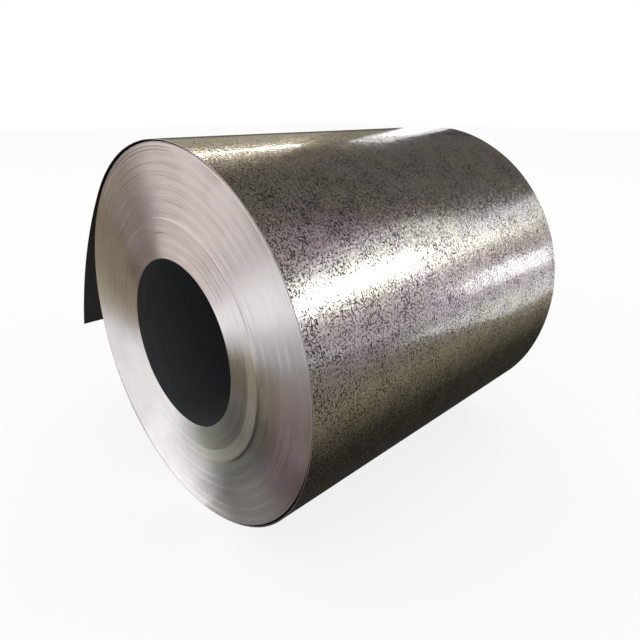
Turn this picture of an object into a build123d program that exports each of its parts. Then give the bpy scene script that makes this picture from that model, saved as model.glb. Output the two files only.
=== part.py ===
from build123d import *
import os
from math import acos, atan2, cos, degrees, radians, sin

# Steel strip wound into a coil that lies on its side. Lengths are in millimetres, angles in degrees.
# The bore's axis is Y, the floor is below at -Z, and the origin is the middle of the bore.
# Angles are measured round the axis from +X towards +Z.

# Strip and coil
STRIP_WIDTH = 1220.0
STRIP_GAUGE = 1.2
BORE_DIAMETER = 508.0
WOUND_DIAMETER = 1128.0

# Telescoped laps, which step the two end faces
BAND_PITCH = 18.5
BAND_UNEVENNESS = 0.3
RIPPLE_DEPTH = 0.5
RIPPLE_LENGTH = 31.0
SWELL_DEPTH = 0.6
SWELL_LENGTH = 97.0
PROUD_CORE_DIAMETER = 730.0
PROUD_CORE_HEIGHT = 4.5

# Loose outer laps, with a gap under them on the lower left and the lower right
OUTER_BAND = 12.0
LOOSE_LAPS = 2
LEFT_BULGE_START = 185.0
LEFT_BULGE_END = 262.0
LEFT_BULGE_HEIGHT = 5.0
RIGHT_BULGE_START = 284.0
RIGHT_BULGE_END = 356.0
RIGHT_BULGE_HEIGHT = 6.5
GAP_SHARE = 0.75

# Free outer end of the strip, which springs off the coil and hangs in the air
TAIL_LIFT_OFF = 46.0
TAIL_EXTRA_RADIUS = 16.0
TAIL_LIFT_SWEEP = 90.0
TAIL_SPRING_RADIUS = 1500.0
TAIL_SPRING_SWEEP = 25.0
TAIL_ROOT_GAP = 1.2

# Inner end of the strip, a low step along the bore
INNER_END_ANGLE = 215.0
INNER_END_SWEEP = 32.0

BORE_RADIUS = BORE_DIAMETER / 2
PROUD_CORE_RADIUS = PROUD_CORE_DIAMETER / 2
WOUND_RADIUS = WOUND_DIAMETER / 2
TURNED_RADIUS = WOUND_RADIUS - OUTER_BAND
LOOSE_THICKNESS = LOOSE_LAPS * STRIP_GAUGE


def polar(radius, angle):
    """Point at a radius and an angle round the bore's axis."""
    return Vector(radius * cos(radians(angle)), radius * sin(radians(angle)))


def bearing(origin, target):
    """Angle of the direction from one point to another."""
    return degrees(atan2(target.Y - origin.Y, target.X - origin.X))


def arc_between(centre, radius, start, end):
    """Arc about a centre, counter-clockwise from one angle to the next."""
    return CenterArc((centre.X, centre.Y), radius, start, (end - start) % 360)


def lap_shift(radius):
    """How far the laps at this radius have slid along the axis."""
    turns = 360 * radius
    shift = RIPPLE_DEPTH * sin(radians(turns / RIPPLE_LENGTH)) + SWELL_DEPTH * sin(radians(turns / SWELL_LENGTH))
    if radius < PROUD_CORE_RADIUS:
        shift -= PROUD_CORE_HEIGHT
    return shift


def band_radii(inner, outer):
    """Radii at which one band of laps ends and the next one begins."""
    count = max(2, round((outer - inner) / BAND_PITCH))
    pitch = (outer - inner) / count
    between = [inner + pitch * (k + BAND_UNEVENNESS * sin(k * k)) for k in range(1, count)]
    return [inner, *between, outer]


def wound_laps():
    """The tight laps as one turned body: every band keeps the strip's width and slides as a whole."""
    radii = band_radii(BORE_RADIUS, PROUD_CORE_RADIUS) + band_radii(PROUD_CORE_RADIUS, TURNED_RADIUS)[1:]
    near, far = [], []
    for inner, outer in zip(radii, radii[1:]):
        shift = lap_shift((inner + outer) / 2)
        near += [(inner, shift - STRIP_WIDTH / 2), (outer, shift - STRIP_WIDTH / 2)]
        far += [(inner, shift + STRIP_WIDTH / 2), (outer, shift + STRIP_WIDTH / 2)]
    section = make_face(Polyline(*near, *reversed(far), close=True))
    return revolve(section, Axis.Y)


def bulge(start, end, height):
    """Three tangent arcs over which the outer laps stand off the coil."""
    middle = (start + end) / 2
    ease = 2 * height / (1 - cos(radians(middle - start)))
    crest_offset = ease - height / 2
    rise, crest, fall = polar(-ease, start), polar(crest_offset, middle), polar(-ease, end)
    crest_start, crest_end = bearing(rise, crest), bearing(fall, crest)
    return [
        arc_between(rise, WOUND_RADIUS + ease, start, crest_start),
        arc_between(crest, WOUND_RADIUS + height - crest_offset, crest_start, crest_end),
        arc_between(fall, WOUND_RADIUS + ease, crest_end, end),
    ]


def loose_gap(start, end, height):
    """Crescent of air under a bulge."""
    middle, half = (start + end) / 2, GAP_SHARE * (end - start) / 2
    floor_radius = WOUND_RADIUS - LOOSE_THICKNESS
    tips = polar(floor_radius, middle - half), polar(floor_radius, middle + half)
    return make_face([
        ThreePointArc(tips[0], polar(floor_radius, middle), tips[1]),
        ThreePointArc(tips[0], polar(floor_radius + height, middle), tips[1]),
    ])


def tail_arcs():
    """Outside and inside of the free end, each as two tangent arcs, and the angle where it leaves the coil."""
    lift_radius = WOUND_RADIUS + TAIL_EXTRA_RADIUS
    lift_centre = polar(-TAIL_EXTRA_RADIUS, TAIL_LIFT_OFF)
    turn = TAIL_LIFT_OFF + TAIL_LIFT_SWEEP
    spring_centre = lift_centre - polar(TAIL_SPRING_RADIUS - lift_radius, turn)
    root = TAIL_LIFT_OFF + degrees(acos(1 - (STRIP_GAUGE + TAIL_ROOT_GAP) / TAIL_EXTRA_RADIUS))
    outside = [
        arc_between(lift_centre, lift_radius, TAIL_LIFT_OFF, turn),
        arc_between(spring_centre, TAIL_SPRING_RADIUS, turn, turn + TAIL_SPRING_SWEEP),
    ]
    inside = [
        arc_between(lift_centre, lift_radius - STRIP_GAUGE, root, turn),
        arc_between(spring_centre, TAIL_SPRING_RADIUS - STRIP_GAUGE, turn, turn + TAIL_SPRING_SWEEP),
    ]
    return outside, inside


def outer_outline():
    """Outline of the coil seen along its axis, with the bulges and the free end."""
    outside, inside = tail_arcs()
    root = inside[0] @ 0
    mouth_angle = bearing(Vector(0, 0), root)
    centre = Vector(0, 0)
    edges = [
        Line(root, polar(WOUND_RADIUS, mouth_angle)),
        arc_between(centre, WOUND_RADIUS, mouth_angle, LEFT_BULGE_START),
        *bulge(LEFT_BULGE_START, LEFT_BULGE_END, LEFT_BULGE_HEIGHT),
        arc_between(centre, WOUND_RADIUS, LEFT_BULGE_END, RIGHT_BULGE_START),
        *bulge(RIGHT_BULGE_START, RIGHT_BULGE_END, RIGHT_BULGE_HEIGHT),
        arc_between(centre, WOUND_RADIUS, RIGHT_BULGE_END, TAIL_LIFT_OFF),
        *outside,
        Line(outside[1] @ 1, inside[1] @ 1),
        *inside,
    ]
    return make_face(edges)


def outer_laps():
    """The outermost band of laps with its bulges and free end, through the whole width."""
    section = outer_outline() - make_face(Circle(TURNED_RADIUS).edges())
    section -= loose_gap(LEFT_BULGE_START, LEFT_BULGE_END, LEFT_BULGE_HEIGHT)
    section -= loose_gap(RIGHT_BULGE_START, RIGHT_BULGE_END, RIGHT_BULGE_HEIGHT)
    band = extrude(Plane.XZ * section, amount=STRIP_WIDTH / 2, both=True)
    return Pos(0, lap_shift(WOUND_RADIUS), 0) * band


def inner_end_step():
    """Crescent cut in the bore: as deep as the strip at its end, and running out to nothing."""
    deep, thin = INNER_END_ANGLE, INNER_END_ANGLE + INNER_END_SWEEP
    middle = (deep + thin) / 2
    section = make_face([
        Line(polar(BORE_RADIUS - STRIP_GAUGE, deep), polar(BORE_RADIUS + STRIP_GAUGE, deep)),
        ThreePointArc(polar(BORE_RADIUS + STRIP_GAUGE, deep), polar(BORE_RADIUS + STRIP_GAUGE / 2, middle),
                      polar(BORE_RADIUS, thin)),
        ThreePointArc(polar(BORE_RADIUS, thin), polar(BORE_RADIUS - STRIP_GAUGE / 2, middle),
                      polar(BORE_RADIUS - STRIP_GAUGE, deep)),
    ])
    return extrude(Plane.XZ * section, amount=STRIP_WIDTH, both=True)


def steel_coil():
    """The whole coil as one solid."""
    coil = wound_laps() + outer_laps() - inner_end_step()
    return coil.solid()


os.makedirs("parts", exist_ok=True)
export_step(steel_coil(), "parts/steel_coil.step")
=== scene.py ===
import logging
from collections.abc import Sequence
from dataclasses import dataclass, field
from enum import Enum
from math import atan2, cos, degrees, pi, radians, sin

import bmesh
import bpy
import numpy as np
from bpy.types import ID, Material, Node, NodeSocket, NodeTree, Object, World
from mathutils import Matrix, Quaternion, Vector


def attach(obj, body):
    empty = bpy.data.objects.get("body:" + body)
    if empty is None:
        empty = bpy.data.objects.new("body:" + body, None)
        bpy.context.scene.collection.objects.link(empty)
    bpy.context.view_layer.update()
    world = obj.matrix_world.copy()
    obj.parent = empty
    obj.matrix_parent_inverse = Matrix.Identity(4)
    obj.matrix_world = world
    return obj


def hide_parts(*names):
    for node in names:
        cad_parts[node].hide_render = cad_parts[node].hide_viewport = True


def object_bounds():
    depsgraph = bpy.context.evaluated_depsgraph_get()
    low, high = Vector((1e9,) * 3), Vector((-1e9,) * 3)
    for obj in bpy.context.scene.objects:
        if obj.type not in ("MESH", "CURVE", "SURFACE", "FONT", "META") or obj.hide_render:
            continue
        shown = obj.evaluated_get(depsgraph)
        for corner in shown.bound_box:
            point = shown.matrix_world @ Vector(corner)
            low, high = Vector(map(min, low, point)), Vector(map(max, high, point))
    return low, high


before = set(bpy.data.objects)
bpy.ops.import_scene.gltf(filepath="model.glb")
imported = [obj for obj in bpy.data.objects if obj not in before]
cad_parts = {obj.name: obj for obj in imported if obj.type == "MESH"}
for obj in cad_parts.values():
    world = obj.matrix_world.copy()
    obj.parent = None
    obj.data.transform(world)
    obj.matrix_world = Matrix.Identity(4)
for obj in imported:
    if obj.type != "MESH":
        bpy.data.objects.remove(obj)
CAD_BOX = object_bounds()
NODE = "steel_coil"
BODY = "root"
STRIP_PLACE = "strip_place"
MM = 0.001
WELD_METRES = 2e-6

log = logging.getLogger("steel_coil")

Array = np.ndarray
Link = NodeSocket
Value = float | int | str | bool | Sequence[float] | Link
Span = tuple[float, float]
Triple = tuple[float, float, float]


def linear(hex_colour: str) -> tuple[float, float, float, float]:
    """Turns an sRGB hex colour into linear RGBA.

    Args:
        hex_colour: Six hex digits, with or without a leading hash.

    Returns:
        Linear red, green, blue and an alpha of one.
    """
    digits = hex_colour.lstrip("#")
    channels = [int(digits[k:k + 2], 16) / 255 for k in (0, 2, 4)]
    red, green, blue = (c / 12.92 if c <= 0.04045 else ((c + 0.055) / 1.055) ** 2.4 for c in channels)
    return red, green, blue, 1.0


def polar(radius: float | Array, angle: float | Array) -> Array:
    """Points at a radius and an angle in degrees round the bore's axis, as x and z."""
    turn = np.radians(angle)
    return np.stack([radius * np.cos(turn), radius * np.sin(turn)], -1)


def smooth_step(low: float, high: float, value: Array) -> Array:
    """Eases from 0 below the low value to 1 above the high one."""
    share = np.clip((value - low) / (high - low), 0, 1)
    return share * share * (3 - 2 * share)


@dataclass(frozen=True)
class ShaderTree:
    """Node tree of a material or a world, with a method for each step that the finishes share."""

    tree: NodeTree
    output: Node

    @classmethod
    def start(cls, owner: Material | World, output: str = "OutputMaterial") -> "ShaderTree":
        """Clears the owner's nodes and adds an output.

        Args:
            owner: Material or world.
            output: Blender's name of the output's node type, without its ShaderNode prefix.

        Returns:
            The tree.
        """
        owner.use_nodes = True
        owner.node_tree.nodes.clear()
        return cls(owner.node_tree, owner.node_tree.nodes.new("ShaderNode" + output))

    def finish(self, shader: Node) -> None:
        """Links the last shader to the output."""
        self.tree.links.new(shader.outputs[0], self.output.inputs[0])

    def add(self, kind: str, settings: dict[str, object] | None = None, **inputs: Value) -> Node:
        """Adds one shader node with its settings, values and links.

        Args:
            kind: Blender's name of the node type, without its ShaderNode prefix.
            settings: Properties of the node, such as its operation.
            inputs: Socket names or in0, in1 and so on, each with a value or a socket to link from.

        Returns:
            The new node.
        """
        node = self.tree.nodes.new("ShaderNode" + kind)
        for name, value in (settings or {}).items():
            setattr(node, name, value)
        for name, value in inputs.items():
            by_number = name.startswith("in") and name[2:].isdigit()
            socket = node.inputs[int(name[2:]) if by_number else name.replace("_", " ")]
            if isinstance(value, NodeSocket):
                self.tree.links.new(value, socket)
            else:
                socket.default_value = value
        return node

    def number(self, operation: str, *values: Value, clamp: bool = False) -> Link:
        """Adds one step of arithmetic between numbers or sockets, held between 0 and 1 with clamp."""
        inputs = {f"in{k}": value for k, value in enumerate(values)}
        return self.add("Math", {"operation": operation, "use_clamp": clamp}, **inputs).outputs[0]

    def vector(self, operation: str, *values: Value) -> Link:
        """Adds one step of arithmetic between vectors.

        Args:
            operation: Blender's name of the operation.
            values: Vectors or sockets, in the order of the node's own.

        Returns:
            The socket with the result, a number for a length or a dot product and a vector for all else.
        """
        inputs = {f"in{k}": value for k, value in enumerate(values)}
        node = self.add("VectorMath", {"operation": operation}, **inputs)
        return node.outputs["Value" if operation in ("LENGTH", "DOT_PRODUCT") else "Vector"]

    def ramp(
        self, value: Link, source: Span = (0.0, 1.0), result: Span = (0.0, 1.0), smooth: bool = False
    ) -> Link:
        """Maps a value from one range to another and holds it at the ends.

        Args:
            value: The value.
            source: Where it starts and ends.
            result: What the start and the end become.
            smooth: Whether it eases in and out.

        Returns:
            The socket with the result.
        """
        shape = {"interpolation_type": "SMOOTHSTEP" if smooth else "LINEAR"}
        return self.add("MapRange", shape, Value=value, From_Min=source[0], From_Max=source[1],
                        To_Min=result[0], To_Max=result[1]).outputs[0]

    def mix(self, share: Link, first: str | Link, second: str | Link, blend: str = "MIX") -> Link:
        """Mixes two colours, each a hex colour or a socket.

        Args:
            share: Share of the second colour.
            first: The first colour.
            second: The second colour.
            blend: Blender's name of the way they mix.

        Returns:
            The socket with the colour.
        """
        under, over = (linear(colour) if isinstance(colour, str) else colour for colour in (first, second))
        kind = {"data_type": "RGBA", "blend_type": blend}
        return self.add("Mix", kind, in0=share, in6=under, in7=over).outputs[2]

    def noise(self, place: Link, size_mm: float, detail: float = 0.0) -> Link:
        """Adds a soft random pattern that runs from 0 to 1.

        Args:
            place: Point that it depends on, or a distance for a pattern of lines.
            size_mm: Size of its patches.
            detail: How many finer patterns lie over the first.

        Returns:
            The socket with the pattern.
        """
        kind, inputs = ("1D", {"W": place}) if place.type == "VALUE" else ("3D", {"Vector": place})
        inputs |= {"Scale": 1 / (size_mm * MM), "Detail": detail}
        return self.add("TexNoise", {"noise_dimensions": kind}, **inputs).outputs["Fac"]

    def nudge(self, base: Link, chance: Link, reach: float) -> Link:
        """Moves a vector by a random colour, either way by up to half the reach."""
        centred = self.vector("SUBTRACT", chance, (0.5, 0.5, 0.5))
        return self.vector("MULTIPLY_ADD", centred, (reach,) * 3, base)

    def strip_place(self) -> Link:
        """Place on the strip, as the pieces' meshes carry it."""
        return self.add("Attribute", {"attribute_name": STRIP_PLACE}).outputs["Vector"]

    def seen_rays(self) -> Link:
        """Tells rays that the camera or a shiny or clear surface sends from all others.

        Returns:
            The socket with 1 for the former and 0 for the latter.
        """
        path = self.add("LightPath")
        seen = path.outputs["Is Camera Ray"]
        for kind in ("Is Glossy Ray", "Is Transmission Ray"):
            seen = self.number("MAXIMUM", seen, path.outputs[kind])
        return seen


class Finish(Enum):
    """Finishes of the coil, in the order of each mesh's material slots."""

    ZINC = 0
    EDGES = 1
    # The inner face's and the bore's colours are painted shade.
    INNER = 2
    BORE = 3


@dataclass(frozen=True)
class SpangledZinc:
    """Hot-dip galvanised sheet, semi-bright.

    The zinc froze into flat grains a few millimetres wide. The smooth ones mirror a lamp as a clean band and
    the frosted ones spread a glow round it. The short dark marks between them are bare zinc oxide, no metal:
    they stay grey where the metal is bright, drown in a lamp's glare and are gone in dark reflections. A
    film of oil over it all draws each lamp once more as a clean thin line.
    """

    grain_mm: float = 5.0
    border_wobble_mm: float = 3.5
    tilt: float = 0.048
    dull: str = "#CFCCCA"
    mauve_stain: str = "#E6D9DD"
    olive_stain: str = "#E2DEC9"
    stain_mm: float = 170.0
    stain_cut: Span = (0.35, 0.65)
    fleck: str = "#12100F"
    fleck_mm: float = 9.0
    fleck_width: Span = (0.05, 0.08)
    fleck_break: Span = (0.46, 0.52)
    fleck_patch_mm: float = 70.0
    fleck_patch_cut: Span = (0.3, 0.7)
    fleck_crowding: float = 0.08
    fleck_roughness: float = 0.45
    fleck_ior: float = 1.4
    smooth_grain: float = 0.17
    frosted_grain: float = 0.27
    frosted_share: float = 0.5
    frost_mm: float = 1.6
    frost_depth_mm: float = 0.006
    oil_roughness: float = 0.06
    oil_ior: float = 1.47

    def build(self) -> Material:
        """Makes the material.

        Returns:
            The material.
        """
        material = bpy.data.materials.new("spangled_zinc")
        tree = ShaderTree.start(material)
        place = tree.strip_place()
        wobble = tree.add("TexNoise", Vector=place, Scale=1 / (self.grain_mm * MM), Detail=1.0)
        wobbled = tree.nudge(place, wobble.outputs["Color"], self.border_wobble_mm * MM)
        grains = tree.add("TexVoronoi", {"voronoi_dimensions": "2D"}, Vector=wobbled,
                          Scale=1 / (self.grain_mm * MM)).outputs["Color"]
        own = tree.add("SeparateColor", in0=grains)
        stains = tree.ramp(tree.noise(place, self.stain_mm, 3.0), self.stain_cut)
        stained = tree.mix(stains, self.mauve_stain, self.olive_stain)
        toned = tree.mix(own.outputs[0], self.dull, stained)
        frosted = tree.number("LESS_THAN", own.outputs[1], self.frosted_share)
        roughness = tree.ramp(frosted, result=(self.smooth_grain, self.frosted_grain))
        oiled: dict[str, Value] = {
            "Normal": self._facing(tree, place, grains),
            "Coat_Weight": 1.0,
            "Coat_Roughness": self.oil_roughness,
            "Coat_IOR": self.oil_ior,
        }
        metal = tree.add("BsdfPrincipled", Base_Color=toned, Metallic=1.0, Roughness=roughness, **oiled)
        oxide = tree.add("BsdfPrincipled", Base_Color=linear(self.fleck), Roughness=self.fleck_roughness,
                         IOR=self.fleck_ior, **oiled)
        shader = tree.add("MixShader", in0=self._flecks(tree, place, wobbled), in1=metal.outputs[0],
                          in2=oxide.outputs[0])
        tree.finish(shader)
        return material

    def _facing(self, tree: ShaderTree, place: Link, grains: Link) -> Link:
        """Normal of the surface: each grain leans a little its own way, with a fine frost over it.

        Args:
            tree: Node tree that gets the nodes.
            place: Place on the strip.
            grains: Random colour of each grain.

        Returns:
            The socket with the normal.
        """
        surface = tree.add("NewGeometry").outputs["Normal"]
        leaning = tree.vector("NORMALIZE", tree.nudge(surface, grains, self.tilt))
        frost = tree.noise(place, self.frost_mm, 2.0)
        bump = tree.add("Bump", Height=frost, Distance=self.frost_depth_mm * MM, Normal=leaning)
        return bump.outputs[0]

    def _flecks(self, tree: ShaderTree, place: Link, wobbled: Link) -> Link:
        """Mask of the dark flecks: thin crooked lines broken into short marks, denser in some patches.

        Args:
            tree: Node tree that gets the nodes.
            place: Place on the strip.
            wobbled: Place on the strip, with the grains' wobble.

        Returns:
            The socket with the mask.
        """
        thin, wide = self.fleck_width
        away = tree.number("SUBTRACT", tree.noise(wobbled, self.fleck_mm, 1.0), 0.5)
        lines = tree.ramp(tree.number("ABSOLUTE", away), (wide, thin))
        patches = tree.noise(place, self.fleck_patch_mm, 2.0)
        crowd = tree.ramp(patches, self.fleck_patch_cut, (-self.fleck_crowding, self.fleck_crowding))
        left = tree.number("ADD", tree.noise(place, self.fleck_mm), crowd)
        return tree.number("MULTIPLY", lines, tree.ramp(left, self.fleck_break))


@dataclass(frozen=True)
class EndPlace:
    """Where a point lies on an end of the coil, as sockets of one node tree, in metres.

    They are the point itself, its part square to the coil's axis, and its distance from the axis.
    """

    tree: ShaderTree
    here: Link
    flat: Link
    radius: Link

    @classmethod
    def find(cls, tree: ShaderTree) -> "EndPlace":
        """Adds the nodes that measure the place.

        Args:
            tree: Node tree that gets the nodes.

        Returns:
            The place.
        """
        here = tree.add("TexCoord").outputs["Object"]
        flat = tree.vector("MULTIPLY", here, (1.0, 0.0, 1.0))
        return cls(tree, here, flat, tree.vector("LENGTH", flat))


@dataclass(frozen=True)
class Sector:
    """Part of an end of the coil: one sector between two radii, with soft sides.

    The centre and half the width are in degrees round the axis, the radii and the softness in millimetres.
    """

    centre: float
    half: float
    inner_mm: float = 0.0
    outer_mm: float = 700.0
    soft_mm: float = 4.0

    def mask(self, end: EndPlace) -> Link:
        """Mask of the sector, full in its middle third and gone at its sides.

        Args:
            end: Place on the end.

        Returns:
            The socket with the mask.
        """
        aim = (cos(radians(self.centre)), 0.0, sin(radians(self.centre)))
        along = end.tree.vector("DOT_PRODUCT", end.tree.vector("NORMALIZE", end.flat), aim)
        sides = (cos(radians(self.half)), cos(radians(self.half / 3)))
        mask = end.tree.ramp(along, sides, smooth=True)
        for edge, soft in ((self.inner_mm, self.soft_mm), (self.outer_mm, -self.soft_mm)):
            inside = end.tree.ramp(end.radius, ((edge - soft) * MM, (edge + soft) * MM))
            mask = end.tree.number("MULTIPLY", mask, inside)
        return mask


@dataclass(frozen=True)
class SlitEdges:
    """Slit edges of the laps, packed side by side on the ends.

    The edges are bare sheared steel, bright and finely lined round the axis, which draws each light out
    into a streak across the end, as on a turned disc. Some sectors carry painted reflection tints, copied
    from the colours the end mirrors there, and the darker ones painted shade; a thin dark ring just outside
    the proud core's rim is a painted shadow of its step. The laps next to the proud core's rim are rubbed
    duller. Single laps are 1.2 mm apart, too fine for a picture of the whole coil, so their lines are drawn
    1.7 and 4.2 mm wide.
    """

    bright: str = "#F4F1F2"
    cool: str = "#EDEAEA"
    dull: str = "#CFC8C6"
    # Painted reflection tints by sector, the darker ones painted shade.
    painted_reflections_and_shade: tuple[tuple[Sector, str], ...] = (
        (Sector(92.0, 64.0), "#FBF0F0"),
        (Sector(128.0, 30.0, 0.0, 330.0, 30.0), "#D8D2D6"),
        (Sector(120.0, 30.0, 330.0, 460.0, 40.0), "#F0E8F4"),
        (Sector(160.0, 30.0), "#F6EFDC"),
        (Sector(-16.0, 28.0, 420.0, 700.0, 20.0), "#F8E8EC"),
        (Sector(-6.0, 18.0, 368.0, 440.0, 15.0), "#EDEADB"),
        (Sector(3.0, 15.0, 0.0, 365.0), "#F0EDDC"),
        (Sector(-54.0, 32.0), "#F0F5EF"),
        (Sector(-38.0, 28.0, 374.0, 440.0, 20.0), "#D8DCD6"),
        (Sector(-34.0, 66.0, 0.0, 327.0), "#D3D5CE"),
        # Painted shadow of the proud core's step: a thin dark ring just outside its rim, at the lower right.
        (Sector(-26.0, 36.0, 366.0, 371.0, 2.0), "#A09C94"),
    )
    lap_mm: float = 4.2
    fine_lap_mm: float = 1.7
    lap_depth_mm: float = 0.07
    worn_cut: Span = (0.5, 0.75)
    patch_mm: float = 120.0
    lined_cut: Span = (0.46, 0.66)
    least_lined: float = 0.06
    roughness: float = 0.40
    roughness_spread: float = 0.05
    anisotropy: float = 0.97
    streak_turn: float = 0.25
    burr: str = "#B4ABA8"
    burr_mm: float = 4.5
    burr_cut: Span = (0.58, 0.66)
    burr_patch_mm: float = 150.0
    burr_patch_cut: Span = (0.42, 0.62)
    burr_sectors: tuple[Sector, ...] = (
        Sector(56.0, 20.0),
        Sector(112.0, 40.0, 320.0),
        Sector(-14.0, 28.0, 425.0, 700.0, 10.0),
    )
    pressed_flat: Sector = Sector(-64.0, 44.0, 300.0, 700.0, 20.0)
    pressed_share: float = 0.15
    rubbed: Sector = Sector(-34.0, 66.0, 327.0, 365.0, 2.0)
    rubbed_anisotropy: float = 0.72
    rubbed_tint: str = "#F9F8EF"
    rubbed_roughness: float = 0.04

    def build(self) -> Material:
        """Makes the material.

        Returns:
            The material.
        """
        material = bpy.data.materials.new("slit_edges")
        tree = ShaderTree.start(material)
        end = EndPlace.find(tree)
        laps = tree.noise(end.radius, self.lap_mm, 1.0)
        fine = tree.noise(end.radius, self.fine_lap_mm)
        patches = tree.noise(end.here, self.patch_mm, 2.0)
        lined = tree.ramp(patches, self.lined_cut, (self.least_lined, 1.0), smooth=True)
        flattened = tree.ramp(self.pressed_flat.mask(end), result=(1.0, self.pressed_share))
        lined = tree.number("MULTIPLY", lined, flattened)
        rubbed = self.rubbed.mask(end)
        toned = tree.mix(patches, self.bright, self.cool)
        worn = tree.number("MULTIPLY", tree.ramp(laps, self.worn_cut), lined)
        colour = self._tinted(end, tree.mix(worn, toned, self.dull), rubbed)
        spread = self.roughness_spread
        roughness = tree.ramp(fine, result=(self.roughness - spread, self.roughness + spread))
        roughness = tree.number("MULTIPLY_ADD", rubbed, self.rubbed_roughness, roughness)
        anisotropy = tree.ramp(rubbed, result=(self.anisotropy, self.rubbed_anisotropy))
        height = tree.number("MULTIPLY", tree.number("ADD", laps, fine), lined)
        bump = tree.add("Bump", Height=height, Distance=self.lap_depth_mm * MM)
        round_axis = tree.add("Tangent", {"direction_type": "RADIAL", "axis": "Y"})
        shader = tree.add("BsdfPrincipled", Base_Color=colour, Metallic=1.0, Roughness=roughness,
                          Anisotropic=anisotropy, Anisotropic_Rotation=self.streak_turn,
                          Tangent=round_axis.outputs[0], Normal=bump.outputs[0])
        tree.finish(shader)
        return material

    def _tinted(self, end: EndPlace, colour: Link, rubbed: Link) -> Link:
        """Lays painted reflection tints and shade, the burrs and the rubbed laps' tint over the bare steel.

        Args:
            end: Place on the end.
            colour: Colour of the bare steel.
            rubbed: Mask of the rubbed laps.

        Returns:
            The socket with the colour.
        """
        # Painted reflection tints and painted shade by sector, with the painted shadow ring at the core's
        # step.
        for sector, tint in self.painted_reflections_and_shade:
            colour = end.tree.mix(sector.mask(end), colour, tint, "MULTIPLY")
        colour = end.tree.mix(self._burrs(end), colour, self.burr)
        return end.tree.mix(rubbed, colour, self.rubbed_tint, "MULTIPLY")

    def _burrs(self, end: EndPlace) -> Link:
        """Mask of the dark burrs: short arcs along the laps, in a few sectors.

        They are drawn a few millimetres wide, where the real ones are as thin as one lap.

        Args:
            end: Place on the end.

        Returns:
            The socket with the mask.
        """
        lines = end.tree.ramp(end.tree.noise(end.radius, self.burr_mm), self.burr_cut)
        patches = end.tree.ramp(end.tree.noise(end.here, self.burr_patch_mm, 1.0), self.burr_patch_cut)
        reach: Value = 0.0
        for sector in self.burr_sectors:
            reach = end.tree.number("ADD", reach, sector.mask(end), clamp=True)
        return end.tree.number("MULTIPLY", end.tree.number("MULTIPLY", patches, lines), reach)


@dataclass(frozen=True)
class PaintedShadeInnerFace:
    """Inner face of the strip, dull, with faint streaks from the rolls.

    Its near-black and dark grey colours are painted shade of the unlit inside of the coil: near black on
    the loose laps and the free end, and dark grey in the bore. The low metal share and specular level keep
    its reflections dim as well.
    """

    name: str
    dark: str
    grey: str
    specular: float
    streak_mm: Span = (180.0, 9.0)
    streak_depth_mm: float = 0.02
    metallic: float = 0.35
    roughness: float = 0.55
    roughness_spread: float = 0.12

    def build(self) -> Material:
        """Makes the material.

        Returns:
            The material.
        """
        material = bpy.data.materials.new(self.name)
        tree = ShaderTree.start(material)
        place = tree.strip_place()
        along, across = (1 / (length * MM) for length in self.streak_mm)
        drawn = tree.vector("MULTIPLY", place, (along, across, 1.0))
        streaks = tree.add("TexNoise", Vector=drawn, Scale=1.0, Detail=3.0).outputs["Fac"]
        colour = tree.mix(streaks, self.dark, self.grey)
        spread = self.roughness_spread
        roughness = tree.ramp(streaks, result=(self.roughness - spread, self.roughness + spread))
        bump = tree.add("Bump", Height=streaks, Distance=self.streak_depth_mm * MM)
        shader = tree.add("BsdfPrincipled", Base_Color=colour, Metallic=self.metallic, Roughness=roughness,
                          Specular_IOR_Level=self.specular, Normal=bump.outputs[0])
        tree.finish(shader)
        return material


@dataclass(frozen=True)
class PlainFloor:
    """Pale matt floor sheet. It shows as white, and keeps part of the coil's shadow."""

    white: float
    colour: str = "#F6F6F5"
    tone: str = "#F3F3F2"
    patch_mm: float = 900.0

    def build(self) -> Material:
        """Makes the material.

        Returns:
            The material.
        """
        material = bpy.data.materials.new("plain_floor")
        tree = ShaderTree.start(material)
        here = tree.add("TexCoord").outputs["Object"]
        colour = tree.mix(tree.noise(here, self.patch_mm, 2.0), self.colour, self.tone)
        matt = tree.add("BsdfPrincipled", Base_Color=colour, Roughness=1.0, Specular_IOR_Level=0.0)
        glow = tree.add("Emission", Color=(1.0, 1.0, 1.0, 1.0), Strength=1.0)
        share = tree.number("MULTIPLY", tree.seen_rays(), self.white)
        both = tree.add("MixShader", in0=share, in1=matt.outputs[0], in2=glow.outputs[0])
        tree.finish(both)
        return material


def add_object(name: str, data: ID) -> Object:
    """Adds an object to the scene.

    Args:
        name: Name of the object.
        data: Its mesh, light or camera.

    Returns:
        The object.
    """
    thing = bpy.data.objects.new(name, data)
    bpy.context.scene.collection.objects.link(thing)
    return thing


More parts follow.
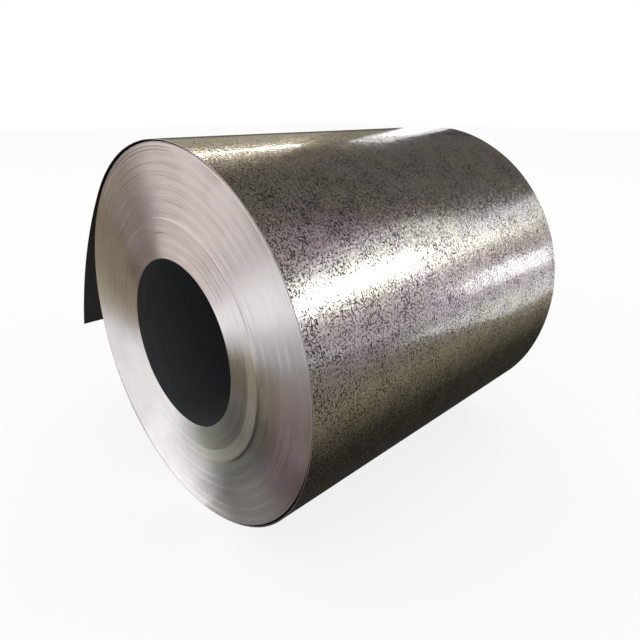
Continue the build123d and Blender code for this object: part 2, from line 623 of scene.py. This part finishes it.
@dataclass
class PieceMesh:
    """Collects grids of points, given in millimetres, into one mesh."""

    points: list[Array] = field(default_factory=list)
    quads: list[Array] = field(default_factory=list)
    finishes: list[Array] = field(default_factory=list)
    places: list[Array] = field(default_factory=list)
    count: int = 0

    def grid(self, points: Array, finish: Finish, place: Array | None = None) -> None:
        """Adds a sheet of quads.

        The way its columns run, crossed with the way its rows run, points outwards.

        Args:
            points: Rows by columns by three coordinates.
            finish: Finish of the sheet.
            place: Place of each point on the strip, of the same shape as the points.
        """
        rows, columns = points.shape[:2]
        index = self.count + np.arange(rows * columns).reshape(rows, columns)
        corners = [index[:-1, :-1], index[:-1, 1:], index[1:, 1:], index[1:, :-1]]
        quads = np.stack(corners, -1).reshape(-1, 4)
        self.points.append(points.reshape(-1, 3) * MM)
        self.places.append((np.zeros_like(points) if place is None else place).reshape(-1, 3) * MM)
        self.quads.append(quads)
        self.finishes.append(np.full(len(quads), finish.value))
        self.count += rows * columns

    def piece(self, name: str, materials: Sequence[Material], crease: float) -> Object:
        """Makes the object: welds the grids, shades it smooth and keeps its sharp edges.

        Args:
            name: Name of the piece.
            materials: Materials in the order of the finishes.
            crease: Angle in degrees above which an edge stays sharp.

        Returns:
            The new object, riding on the coil's body.
        """
        mesh = bpy.data.meshes.new(name)
        quads = np.concatenate(self.quads)
        mesh.from_pydata(np.concatenate(self.points).tolist(), [], quads.tolist())
        place = mesh.attributes.new(STRIP_PLACE, "FLOAT_VECTOR", "CORNER")
        corners = np.concatenate(self.places)[quads.ravel()]
        place.data.foreach_set("vector", corners.astype(np.float32).ravel())
        mesh.polygons.foreach_set("material_index", np.concatenate(self.finishes).astype(np.int32))
        for material in materials:
            mesh.materials.append(material)
        body = bmesh.new()
        body.from_mesh(mesh)
        bmesh.ops.remove_doubles(body, verts=body.verts, dist=WELD_METRES)
        body.to_mesh(mesh)
        body.free()
        mesh.shade_smooth()
        mesh.set_sharp_from_angle(angle=radians(crease))
        piece = add_object(name, mesh)
        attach(piece, BODY)
        log.info("%s: %d faces", name, len(mesh.polygons))
        return piece


@dataclass(frozen=True)
class Bulge:
    """A stretch over which the outer laps stand off the coil, in degrees and millimetres."""

    start: float
    end: float
    height: float

    def stand_off(self, base: float, angles: Array, share: float = 1.0) -> Array:
        """How far a lap stands off the coil, along three tangent arcs.

        Args:
            base: Radius the lap has where it lies tight.
            angles: Angles round the axis in degrees.
            share: Share of the full height that this lap rises.

        Returns:
            The distance at each angle.
        """
        height, middle = self.height * share, (self.start + self.end) / 2
        turned = self.start + (angles - self.start) % 360
        ease = 2 * height / (1 - cos(radians(middle - self.start)))
        offset = ease - height / 2
        rise, crest = polar(-ease, self.start), polar(offset, middle)
        aim = crest - rise
        meeting = rise + aim / np.hypot(*aim) * (base + ease)
        first = degrees(atan2(meeting[1], meeting[0])) % 360
        rising = self._radius(-ease, self.start, base + ease, turned)
        cresting = self._radius(offset, middle, base + height - offset, turned)
        falling = self._radius(-ease, self.end, base + ease, turned)
        radius = np.where(turned < first, rising, np.where(turned < 2 * middle - first, cresting, falling))
        return np.where(turned < self.end, radius - base, 0.0)

    @staticmethod
    def _radius(offset: float, towards: float, radius: float, angles: Array) -> Array:
        """Distance from the axis to an arc whose centre is set off the axis."""
        turn = np.radians(angles - towards)
        return offset * np.cos(turn) + np.sqrt(radius**2 - (offset * np.sin(turn)) ** 2)


@dataclass(frozen=True)
class CoilSizes:
    """Sizes that all laps share, in millimetres and degrees, as in the CAD part."""

    strip_width: float = 1220.0
    gauge: float = 1.2
    bore_radius: float = 254.0
    wound_radius: float = 564.0
    ripple_depth: float = 0.5
    ripple_length: float = 31.0
    swell_depth: float = 0.6
    swell_length: float = 97.0
    proud_core_radius: float = 365.0
    proud_core_height: float = 4.5
    bulges: tuple[Bulge, ...] = (Bulge(185.0, 262.0, 5.0), Bulge(284.0, 356.0, 6.5))

    def lap_shift(self, radius: float) -> float:
        """How far the laps at this radius have slid along the axis.

        Args:
            radius: Radius of the laps.

        Returns:
            The distance, below zero towards the near end.
        """
        turns = 360 * radius
        shift = self.ripple_depth * sin(radians(turns / self.ripple_length))
        shift += self.swell_depth * sin(radians(turns / self.swell_length))
        return shift - self.proud_core_height if radius < self.proud_core_radius else shift

    def stand_off(self, base: float, angles: Array, share: float = 1.0) -> Array:
        """How far a lap of this radius stands off the coil over all bulges together."""
        return sum(bulge.stand_off(base, angles, share) for bulge in self.bulges)


def strip_places(along: Array, across: Array) -> Array:
    """Places on the strip by the distances along and across it, with a zero as third coordinate."""
    return np.stack(np.broadcast_arrays(along, across, 0.0), -1)


def ring_points(radii: Array, angles: Array, across: Array) -> Array:
    """Points by radius, angle in degrees and place along the axis, with x, y and z last."""
    turn = np.radians(angles)
    return np.stack(np.broadcast_arrays(radii * np.cos(turn), across, radii * np.sin(turn)), -1)


@dataclass
class WoundLaps:
    """The tight laps from the bore outwards.

    Their edges lie flush over most of both ends and ragged in a few sectors. The laps of the core stand
    proud of the others at the near end.
    """

    sizes: CoilSizes
    outer_radius: float = 560.4
    segments: int = 200
    ring_widths: Span = (2.4, 6.2)
    groove_width: float = 0.9
    groove_depth: float = 0.24
    deepest: float = 0.5
    ragged_sectors: tuple[Span, ...] = ((55.0, 15.0), (117.0, 34.0), (-12.0, 24.0))
    ragged_patch: float = 61.0
    ragged_core: float = 0.4
    least_ragged: float = 0.35
    patch_lag: float = 0.37
    flush: float = 0.04
    most_swing: float = 0.5
    edge_break: float = 0.5
    inner_end: float = 215.0
    inner_end_sweep: float = 32.0
    step_width: float = 0.02
    step_laps: float = 3.0
    crease: float = 7.0
    seed: int = 7

    def build(self, materials: Sequence[Material]) -> Object:
        """Builds the turned body with both ends, the bore and the wall under the loose laps.

        Args:
            materials: Materials in the order of the finishes.

        Returns:
            The piece, which takes the CAD node's place.
        """
        mesh = PieceMesh()
        first = self.inner_end + self.step_width
        angles = np.append(np.linspace(first, self.inner_end + 360, self.segments), first + 360)
        chance = np.random.default_rng(self.seed)
        near = self._end(angles, chance, -1)
        far = self._end(angles, chance, 1)
        mesh.grid(near, Finish.EDGES)
        mesh.grid(far.transpose(1, 0, 2), Finish.EDGES)
        along = np.radians(angles) * self.sizes.bore_radius
        # The bore is drawn dark grey and the wall under the loose laps near black: painted shade.
        bore = np.stack([near[:, 0], far[:, 0]])
        mesh.grid(bore, Finish.BORE, strip_places(along, bore[..., 1]))
        wall = np.stack([near[:, -1], far[:, -1]], 1)
        mesh.grid(wall, Finish.INNER, strip_places(along[:, None], wall[..., 1]))
        piece = mesh.piece("wound_laps", materials, self.crease)
        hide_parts(NODE)
        return piece

    def _rings(self, chance: np.random.Generator) -> list[Span]:
        """Parts an end into rings of a few laps that lie level.

        Args:
            chance: Source of the random widths.

        Returns:
            Inner and outer radius of each ring, from the bore outwards.
        """
        low, high = self.ring_widths
        rings = []
        for radius, outer in ((self.sizes.bore_radius, self.sizes.proud_core_radius),
                              (self.sizes.proud_core_radius, self.outer_radius)):
            while outer - radius > high:
                width = chance.uniform(low, high)
                rings.append((radius, radius + width))
                radius += width
            rings.append((radius, outer))
        return rings

    def _raggedness(self, radius: float, angles: Array) -> Array:
        """How ragged the laps' edges are at this radius.

        Args:
            radius: Radius of the laps.
            angles: Angles round the axis in degrees.

        Returns:
            From 0 to 1 at each angle.
        """
        total = np.full(angles.shape, self.flush)
        for k, (centre, half) in enumerate(self.ragged_sectors):
            away = np.abs((angles - centre + 180) % 360 - 180)
            patch = 0.5 + 0.5 * sin(2 * pi * (radius / self.ragged_patch + self.patch_lag * k))
            inside = 1 - smooth_step(self.ragged_core * half, half, away)
            total += inside * (self.least_ragged + (1 - self.least_ragged) * patch)
        return np.clip(total, 0, 1)

    def _level(self, radius: float, side: int) -> float:
        """Where along the axis the edges at this radius end, within the CAD part's box."""
        level = side * self.sizes.strip_width / 2 + self.sizes.lap_shift(radius)
        return float(np.clip(level, CAD_BOX[0][1] / MM, CAD_BOX[1][1] / MM))

    def _end(self, angles: Array, chance: np.random.Generator, side: int) -> Array:
        """Lays out one end, ring by ring, with a groove between rings where the edges are ragged.

        Args:
            angles: Angles round the axis in degrees.
            chance: Source of the random widths and depths.
            side: -1 for the near end and 1 for the far one.

        Returns:
            The end's points, by angle and then outwards.
        """
        rings = self._rings(chance)
        faces = []
        for inner, outer in rings:
            middle = (inner + outer) / 2
            swing, phase = chance.uniform(0, self.most_swing), chance.uniform(0, 2 * pi)
            waving = 1 - swing + swing * np.cos(np.radians(angles) - phase)
            sunk = self.deepest * chance.uniform(0, 1) * waving
            faces.append(self._level(middle, side) - side * sunk * self._raggedness(middle, angles))
        half, circles = self.groove_width / 2, []
        circles.append((rings[0][0], faces[0] - side * self.edge_break))
        for (inner, outer), face, following in zip(rings, faces, [*faces[1:], faces[-1]]):
            circles += [(inner + half, face), (outer - half, face)]
            ragged = self._raggedness(outer, angles)
            groove = self.edge_break if outer == self.outer_radius else self.groove_depth * ragged
            circles.append((outer, side * (np.minimum(side * face, side * following) - groove)))
        radii = np.array([radius for radius, _ in circles])
        across = np.stack([level for _, level in circles], 1)
        # The strip's inner end is the step between the last two angles.
        sweep = (angles - self.inner_end) % 360
        sweep[-1] = self.step_width
        recess = self.sizes.gauge * np.clip(1 - sweep / self.inner_end_sweep, 0, 1)
        recess[-2] = 0.0
        fading = np.clip(1 - (radii - self.sizes.bore_radius) / (self.step_laps * self.sizes.gauge), 0, 1)
        return ring_points(radii[None, :] + recess[:, None] * fading[None, :], angles[:, None], across)


@dataclass
class LooseLap:
    """The second lap from outside. It follows the bulges of the outer one, a little lower."""

    sizes: CoilSizes
    outer_radius: float = 562.2
    bulge_share: float = 0.8
    sunk: float = 0.6
    segments: int = 240
    crease: float = 40.0

    def build(self, materials: Sequence[Material]) -> Object:
        """Builds the closed ring of sheet.

        Args:
            materials: Materials in the order of the finishes.

        Returns:
            The piece.
        """
        mesh = PieceMesh()
        angles = np.linspace(0, 360, self.segments + 1)
        outside = self.outer_radius + self.sizes.stand_off(self.outer_radius, angles, self.bulge_share)
        shift, half = self.sizes.lap_shift(self.sizes.wound_radius), self.sizes.strip_width / 2 - self.sunk
        corners = {(r, s): ring_points(outside - r * self.sizes.gauge, angles, np.full(1, shift + s * half))
                   for r in (0, 1) for s in (-1, 1)}
        along = np.radians(angles) * self.outer_radius
        outer = np.stack([corners[0, -1], corners[0, 1]], 1)
        inner = np.stack([corners[1, -1], corners[1, 1]])
        mesh.grid(outer, Finish.ZINC, strip_places(along[:, None], outer[..., 1]))
        # The inner face is drawn near black: painted shade.
        mesh.grid(inner, Finish.INNER, strip_places(along, inner[..., 1]))
        mesh.grid(np.stack([corners[1, -1], corners[0, -1]], 1), Finish.EDGES)
        mesh.grid(np.stack([corners[1, 1], corners[0, 1]]), Finish.EDGES)
        return mesh.piece("loose_lap", materials, self.crease)


@dataclass
class OuterLap:
    """The outermost lap and the free end it runs out to, as one sheet."""

    sizes: CoilSizes
    lift_off: float = 46.0
    lift_sweep: float = 90.0
    extra_radius: float = 16.0
    spring_radius: float = 1500.0
    spring_sweep: float = 25.0
    hidden_lead: float = 34.0
    tuck_sweep: float = 150.0
    step: float = 14.0
    columns: int = 49
    waves: int = 10
    wave_length: Span = (160.0, 620.0)
    wave_slant: Span = (500.0, 2600.0)
    wave_cap: float = 3.0
    wave_depth: float = 0.45
    crease: float = 40.0
    seed: int = 11

    def build(self, materials: Sequence[Material]) -> Object:
        """Builds both faces, the slit edges and the two cut ends.

        Args:
            materials: Materials in the order of the finishes.

        Returns:
            The piece.
        """
        mesh = PieceMesh()
        line = self._line()
        steps = np.diff(line, axis=0)
        along = np.concatenate([[0], np.cumsum(np.hypot(*steps.T))])
        tangent = np.gradient(line, along, axis=0)
        tangent /= np.hypot(*tangent.T)[:, None]
        outward = np.stack([tangent[:, 1], -tangent[:, 0]], 1)
        across = np.linspace(-1, 1, self.columns) * self.sizes.strip_width / 2
        depth = self._waves(along[:, None], across[None, :])
        shift = self.sizes.lap_shift(self.sizes.wound_radius)
        faces = [self._face(line, outward, depth + sunk, across + shift) for sunk in (0.0, self.sizes.gauge)]
        outer, inner = faces
        place = strip_places(along[:, None], across[None, :])
        mesh.grid(outer, Finish.ZINC, place)
        # The inner face is drawn near black: painted shade.
        mesh.grid(inner.transpose(1, 0, 2), Finish.INNER, place.transpose(1, 0, 2))
        mesh.grid(np.stack([inner[:, 0], outer[:, 0]], 1), Finish.EDGES)
        mesh.grid(np.stack([inner[:, -1], outer[:, -1]]), Finish.EDGES)
        mesh.grid(np.stack([inner[0], outer[0]]), Finish.EDGES)
        mesh.grid(np.stack([inner[-1], outer[-1]], 1), Finish.EDGES)
        return mesh.piece("outer_lap", materials, self.crease)

    @staticmethod
    def _face(line: Array, outward: Array, depth: Array, across: Array) -> Array:
        """Points of one face, sunk below the line by the depth at each point."""
        flat = line[:, None, :] - outward[:, None, :] * depth[..., None]
        return np.stack(np.broadcast_arrays(flat[..., 0], across[None, :], flat[..., 1]), -1)

    def _line(self) -> Array:
        """Draws the outside of the sheet as seen along the axis, from under the free end to the cut end.

        Returns:
            The line's points, as x and z.
        """
        radius = self.sizes.wound_radius
        turn = degrees(self.step / radius)
        start = self.lift_off - 360 + self.hidden_lead
        angles = np.linspace(start, self.lift_off, round((self.lift_off - start) / turn))
        lower = self.sizes.gauge * (1 - smooth_step(start, start + self.tuck_sweep, angles))
        lap = polar(radius - lower + self.sizes.stand_off(radius, angles), angles)
        lift_radius = radius + self.extra_radius
        lift_centre = polar(-self.extra_radius, self.lift_off)
        top = self.lift_off + self.lift_sweep
        lift = self._arc(lift_centre, lift_radius, self.lift_off, top)
        spring_centre = lift_centre - polar(self.spring_radius - lift_radius, top)
        spring = self._arc(spring_centre, self.spring_radius, top, top + self.spring_sweep)
        return np.concatenate([lap, lift[1:], spring[1:]])

    def _arc(self, centre: Array, radius: float, start: float, end: float) -> Array:
        """Points of an arc, one step apart."""
        count = round(radians(end - start) * radius / self.step) + 1
        return centre + polar(radius, np.linspace(start, end, count))

    def _waves(self, along: Array, across: Array) -> Array:
        """Slight waves of the sheet, never above its outline.

        Args:
            along: Distances along the strip.
            across: Distances across it.

        Returns:
            How far the sheet lies below its outline at each point.
        """
        chance = np.random.default_rng(self.seed)
        total = np.zeros(np.broadcast_shapes(along.shape, across.shape))
        for _ in range(self.waves):
            long, wide = chance.uniform(*self.wave_length), chance.uniform(*self.wave_slant)
            total += np.sin(2 * pi * (along / long + across / wide) + chance.uniform(0, 2 * pi))
        return self.wave_depth * (0.5 + 0.5 * np.tanh(total / self.wave_cap))


@dataclass(frozen=True)
class SoftLamp:
    """Soft box that faces the coil, placed by its direction from it, with the brightness its front shows."""

    name: str
    bearing: float
    height: float
    distance: float
    size: Span
    brightness: float
    colour: str = "#FFFFFF"
    roll: float = 0.0

    def build(self) -> None:
        """Adds the lamp."""
        light = bpy.data.lights.new(self.name, "AREA")
        light.shape, light.size, light.size_y = "RECTANGLE", *self.size
        light.energy = self.brightness * pi * self.size[0] * self.size[1]
        light.color = linear(self.colour)[:3]
        lamp = add_object(self.name, light)
        lamp.location = towards(self.bearing, self.height) * self.distance
        facing = lamp.location.to_track_quat("Z", "Y") @ Quaternion((0.0, 0.0, 1.0), radians(self.roll))
        lamp.rotation_euler = facing.to_euler()
        lamp.visible_camera = False


@dataclass(frozen=True)
class WallCard:
    """Curved card round the coil, seen only in its reflections, between two bearings and two heights."""

    name: str
    bearings: Span
    heights: Span
    colour: str
    distance: float = 14.0
    step: float = 5.0

    def build(self) -> None:
        """Adds the card."""
        columns, rows = (np.linspace(low, high, max(2, round((high - low) / self.step)))
                         for low, high in (self.bearings, self.heights))
        points = [towards(bearing, height) * self.distance for height in rows for bearing in columns]
        wide = len(columns)
        quads = [(r * wide + c, r * wide + c + 1, (r + 1) * wide + c + 1, (r + 1) * wide + c)
                 for r in range(len(rows) - 1) for c in range(wide - 1)]
        add_card(self.name, points, quads, self.colour, self.colour)


@dataclass(frozen=True)
class FloorCard:
    """Flat card on the floor, seen only in the coil's reflections, shaded from left to right."""

    name: str
    reach_x: Span
    reach_y: Span
    colour: str
    right_colour: str = ""
    level: float = -0.562

    def build(self) -> None:
        """Adds the card."""
        (left, right), (front, back) = self.reach_x, self.reach_y
        corners = ((left, front), (right, front), (right, back), (left, back))
        points = [Vector((x, y, self.level)) for x, y in corners]
        add_card(self.name, points, [(0, 1, 2, 3)], self.colour, self.right_colour or self.colour)


def add_sheet(
    name: str, points: Sequence[Vector], faces: Sequence[tuple[int, ...]], material: Material
) -> Object:
    """Adds a sheet that belongs to the studio.

    Args:
        name: Name of the sheet.
        points: Its points.
        faces: Its faces, as indices of points.
        material: Its material.

    Returns:
        The object.
    """
    mesh = bpy.data.meshes.new(name)
    mesh.from_pydata(points, [], faces)
    mesh.materials.append(material)
    sheet = add_object(name, mesh)
    return sheet


def add_card(
    name: str, points: Sequence[Vector], faces: Sequence[tuple[int, ...]], colour: str, right_colour: str
) -> None:
    """Adds a studio card that only reflections show.

    Args:
        name: Name of the card.
        points: Its points.
        faces: Its faces, as indices of points.
        colour: Its colour as the metal shows it.
        right_colour: The colour that it shades to where its X is greatest.
    """
    material = bpy.data.materials.new(name)
    tree = ShaderTree.start(material)
    here = tree.add("TexCoord").outputs["Object"]
    across = tree.add("SeparateXYZ", in0=here).outputs[0]
    share = tree.ramp(across, (min(p.x for p in points), max(p.x for p in points)))
    shade = tree.mix(share, colour, right_colour)
    glow = tree.add("Emission", Color=shade, Strength=1.0)
    tree.finish(glow)
    card = add_sheet(name, points, faces, material)
    for ray in ("camera", "diffuse", "shadow", "transmission"):
        setattr(card, f"visible_{ray}", False)


def towards(bearing: float, height: float) -> Vector:
    """Unit vector by its bearing, from +X towards +Y, and its height above the horizon, in degrees."""
    flat = cos(radians(height))
    return Vector((flat * cos(radians(bearing)), flat * sin(radians(bearing)), sin(radians(height))))


@dataclass
class Studio:
    """Pale floor, white surroundings, soft lamps and grey cards."""

    floor_level: float = -0.564
    floor_reach: float = 30.0
    floor_white: float = 0.8
    fill: float = 0.9
    lamps: tuple[SoftLamp, ...] = ()
    cards: tuple[WallCard | FloorCard, ...] = ()

    def build(self) -> None:
        """Adds the floor, the world, the lamps and the cards."""
        self._floor()
        self._world()
        for part in (*self.lamps, *self.cards):
            part.build()

    def _floor(self) -> None:
        """Adds the floor sheet."""
        signs = ((-1, -1), (1, -1), (1, 1), (-1, 1))
        corners = [Vector((x * self.floor_reach, y * self.floor_reach, self.floor_level)) for x, y in signs]
        add_sheet("floor", corners, [(0, 1, 2, 3)], PlainFloor(white=self.floor_white).build())

    def _world(self) -> None:
        """Sets the surroundings: white to the camera and to shiny metal, and a soft fill for all else."""
        world = bpy.data.worlds.new("studio")
        tree = ShaderTree.start(world, "OutputWorld")
        strength = tree.ramp(tree.seen_rays(), result=(self.fill, 1.0))
        tree.finish(tree.add("Background", Color=(1.0, 1.0, 1.0, 1.0), Strength=strength))
        bpy.context.scene.world = world


@dataclass(frozen=True)
class PhotoCamera:
    """The camera, where the photograph was taken from, as fitted to the coil's outline in it.

    Its place and its two directions are in metres in the coil's frame, its lens in millimetres.
    """

    place: Triple = (1.2996, -1.3062, 0.6466)
    right: Triple = (0.69718, 0.71690, 0.0)
    up: Triple = (-0.26776, 0.26040, 0.92763)
    sensor_width: float = 36.0
    lens: float = 29.974
    sees_from: float = 0.05
    sees_to: float = 60.0

    def build(self) -> None:
        """Adds the camera and sets plain colours."""
        bpy.context.scene.view_settings.view_transform = "Standard"
        data = bpy.data.cameras.new("camera")
        data.sensor_width, data.lens = self.sensor_width, self.lens
        data.clip_start, data.clip_end = self.sees_from, self.sees_to
        camera = add_object("camera", data)
        right, up = Vector(self.right), Vector(self.up)
        turn = Matrix((right, up, right.cross(up))).transposed().to_4x4()
        camera.matrix_world = Matrix.Translation(self.place) @ turn
        bpy.context.scene.camera = camera


def photo_studio() -> Studio:
    """Sets up the lamps and the cards whose reflections the metal shows in the photo.

    Bearings and heights are in degrees from the coil, floor cards are placed in metres.

    Returns:
        The studio, not yet built.
    """
    return Studio(
        lamps=(
            # These draw the bands on the outer lap.
            SoftLamp("back_right_box", 43.5, 21.4, 12.0, (4.0, 1.7), 3.2, "#FFFCF2"),
            SoftLamp("back_right_tubes", 44.0, 21.0, 11.9, (4.4, 0.6), 7.0, "#FFFFFC"),
            SoftLamp("back_right_end_box", 59, 15, 12.0, (3.2, 1.2), 0.55, "#FFFAEA"),
            SoftLamp("low_panel", 58.4, -0.4, 12.0, (1.9, 1.6), 1.7, "#F4F0FF"),
            SoftLamp("far_box", 123.5, 12, 12.0, (0.8, 4.0), 1.2),
            SoftLamp("thin_tube", 139, 35.3, 12.0, (3.4, 0.12), 36.0, "#FFF4DC", 38.0),
            # These light the near end.
            SoftLamp("front_low_box", -111, -8, 2.9, (1.3, 0.4), 4.2, "#FFFDFF"),
            SoftLamp("front_left_box", -132, 14, 12.0, (11.4, 2.6), 2.2, "#FFFDFF"),
            SoftLamp("front_left_edge", -162, 12, 12.0, (3.2, 2.6), 1.3, "#FFFDFF"),
        ),
        cards=(
            # Walls and ceiling, mirrored by the outer lap, and the wall in front of the near end.
            WallCard("flag_overhead", (68, 120), (22, 80), "#635F5A"),
            WallCard("flag_back", (76, 119.7), (-3, 22), "#4A4744"),
            WallCard("flag_overhead_left", (120, 128.3), (27, 80), "#6A6055"),
            WallCard("olive_left", (126.6, 134), (11, 27), "#857C6C"),
            WallCard("pale_left", (128.3, 175), (27, 80), "#99937F"),
            WallCard("flag_left_low", (126.6, 175), (-2, 11), "#57524B"),
            WallCard("pale_left_low", (134, 175), (11, 27), "#A19B87"),
            WallCard("grey_upper_right", (0, 68), (34, 80), "#988B8E"),
            WallCard("grey_right", (0, 55), (4, 14), "#C6BDC5"),
            WallCard("grey_right_end", (55, 73), (4, 14), "#BCB4B6"),
            WallCard("grey_right_low", (0, 55), (-3, 4), "#A8A0A8"),
            WallCard("front_wall", (-190, -60), (-3, 18), "#3A3535"),
            # Floor beside the coil, under the bands.
            FloorCard("dark_floor", (0.3, 0.7), (-3.0, 6.0), "#302E28"),
            FloorCard("olive_floor", (0.7, 1.3), (-3.0, 6.0), "#35332B", "#968E74"),
            FloorCard("grey_floor", (1.3, 2.4), (-3.0, 1.7), "#7F7868", "#8A8484"),
            FloorCard("grey_floor_right", (2.4, 12.0), (-3.0, 3.0), "#8A8484"),
            FloorCard("lilac_floor", (2.4, 12.0), (3.0, 12.0), "#CDC7D0"),
            # Floor in front of the near end and to its left.
            FloorCard("front_floor_left", (-0.9, 0.15), (-1.2, -0.95), "#3A3735"),
            FloorCard("front_floor_left_far", (-0.9, 0.15), (-6.0, -1.2), "#746E69"),
            FloorCard("front_floor_near", (-0.45, 0.5), (-0.95, -0.8), "#2A2725", "#746D6A"),
            FloorCard("front_floor_near_right", (-0.1, 0.5), (-0.8, -0.66), "#4E4745", "#9C9390"),
            FloorCard("front_floor_lip", (0.04, 0.48), (-0.66, -0.61), "#A39A97"),
            FloorCard("front_floor_right", (0.15, 3.0), (-3.0, -0.95), "#AAA4A0"),
            FloorCard("left_floor_near", (-1.9, -0.9), (-1.9, -0.95), "#B0A9A5"),
            FloorCard("left_floor", (-12.0, -1.9), (-12.0, 0.6), "#8A8468"),
            FloorCard("left_floor_front", (-1.9, -0.9), (-12.0, -1.9), "#4A4643"),
        ),
    )


def main() -> None:
    """Builds the coil, the studio and the camera."""
    logging.basicConfig(level=logging.INFO, format="%(name)s: %(message)s")
    sizes = CoilSizes()
    materials = [
        SpangledZinc().build(),
        SlitEdges().build(),
        # The inner face's near black and the bore's dark grey are painted shade.
        PaintedShadeInnerFace("oiled_inner_face", "#131311", "#1F1F1C", 0.2).build(),
        PaintedShadeInnerFace("dull_bore_face", "#3A3B3E", "#525457", 0.5).build(),
    ]
    for part in (WoundLaps(sizes), LooseLap(sizes), OuterLap(sizes)):
        piece = part.build(materials)
        log.info("built %s, %.0f mm long", piece.name, piece.dimensions.y / MM)
    photo_studio().build()
    PhotoCamera().build()


if __name__ == "__main__":
    main()
